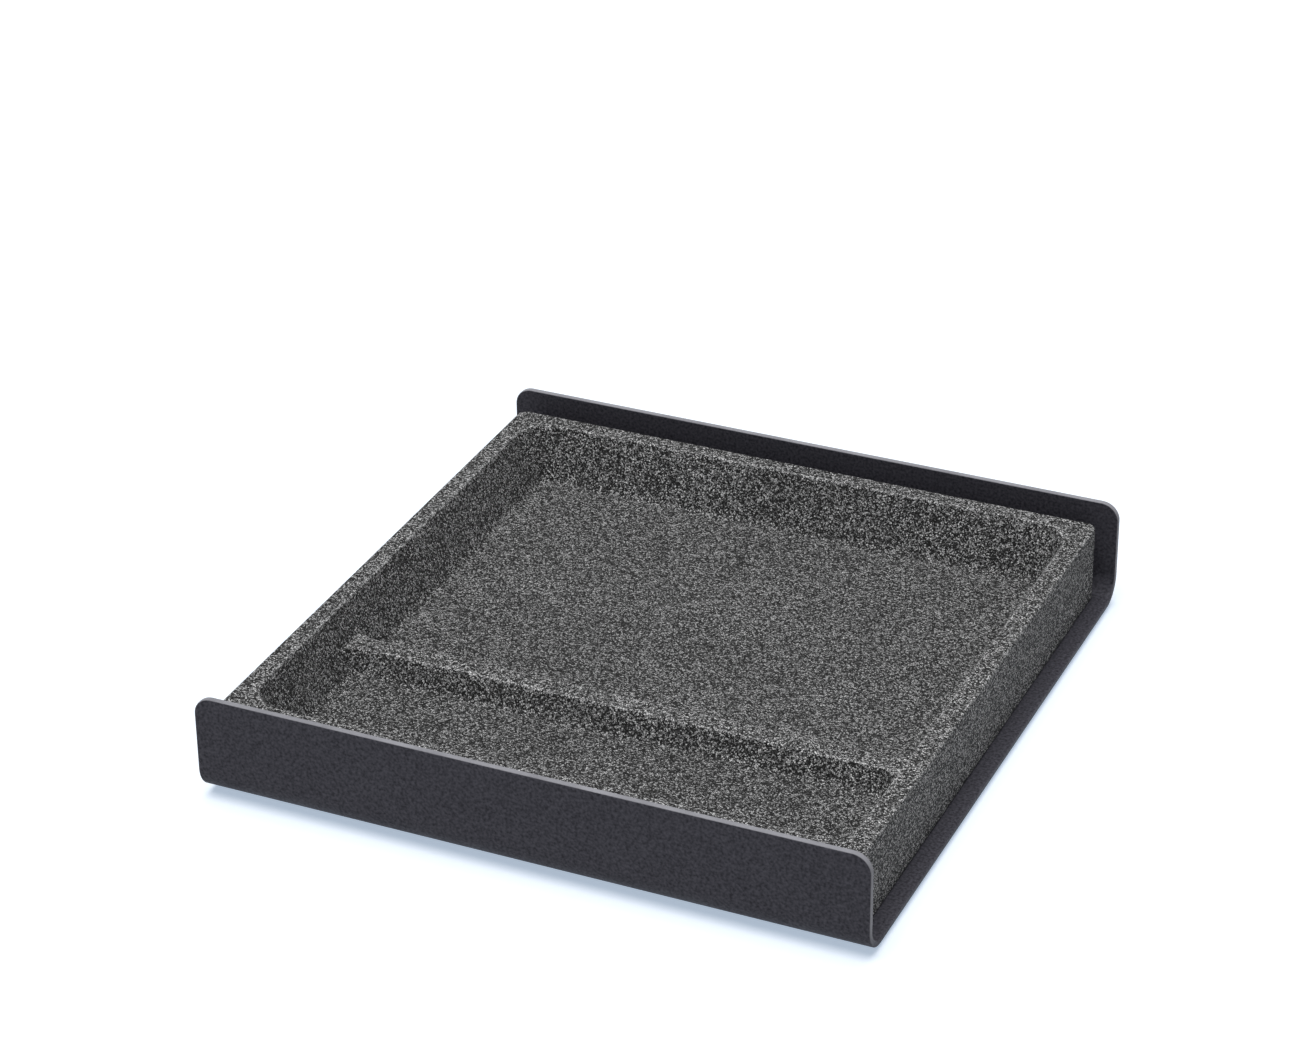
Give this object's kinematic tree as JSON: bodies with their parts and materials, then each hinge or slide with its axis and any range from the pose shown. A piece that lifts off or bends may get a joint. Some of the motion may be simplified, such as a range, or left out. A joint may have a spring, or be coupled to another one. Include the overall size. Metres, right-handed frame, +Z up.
{
  "type": "desk pen tray",
  "caption": "Low square desk tray: a bent black steel channel, open at both ends, carries a charcoal cork block with a pen trough in front and a wide compartment behind a low ridge.",
  "frame": {"origin": "on the desk surface, under the middle of the steel channel", "axes": "+Z up; +Y from the pen trough at the front to the wide compartment at the rear; +X to the right, along the pens"},
  "size_m": [0.2178, 0.2236, 0.0361],
  "materials": {
    "powder_coated_steel": "fine satin black powder coat on bent steel plate, a little lighter along its edges",
    "charcoal_cork": "matte moulded cork granulate dyed charcoal, with pale and dark grains about a millimetre across",
    "adhesive_foam": "matte black double-sided foam tape",
    "foot_rubber": "matte black moulded rubber"
  },
  "bodies": {
    "root": {"steel_channel": "powder_coated_steel", "cork_block": "charcoal_cork", "front_strip": "adhesive_foam", "rear_strip": "adhesive_foam", "front_left_foot": "foot_rubber", "front_right_foot": "foot_rubber", "rear_left_foot": "foot_rubber", "rear_right_foot": "foot_rubber"}
  },
  "joints": []
}
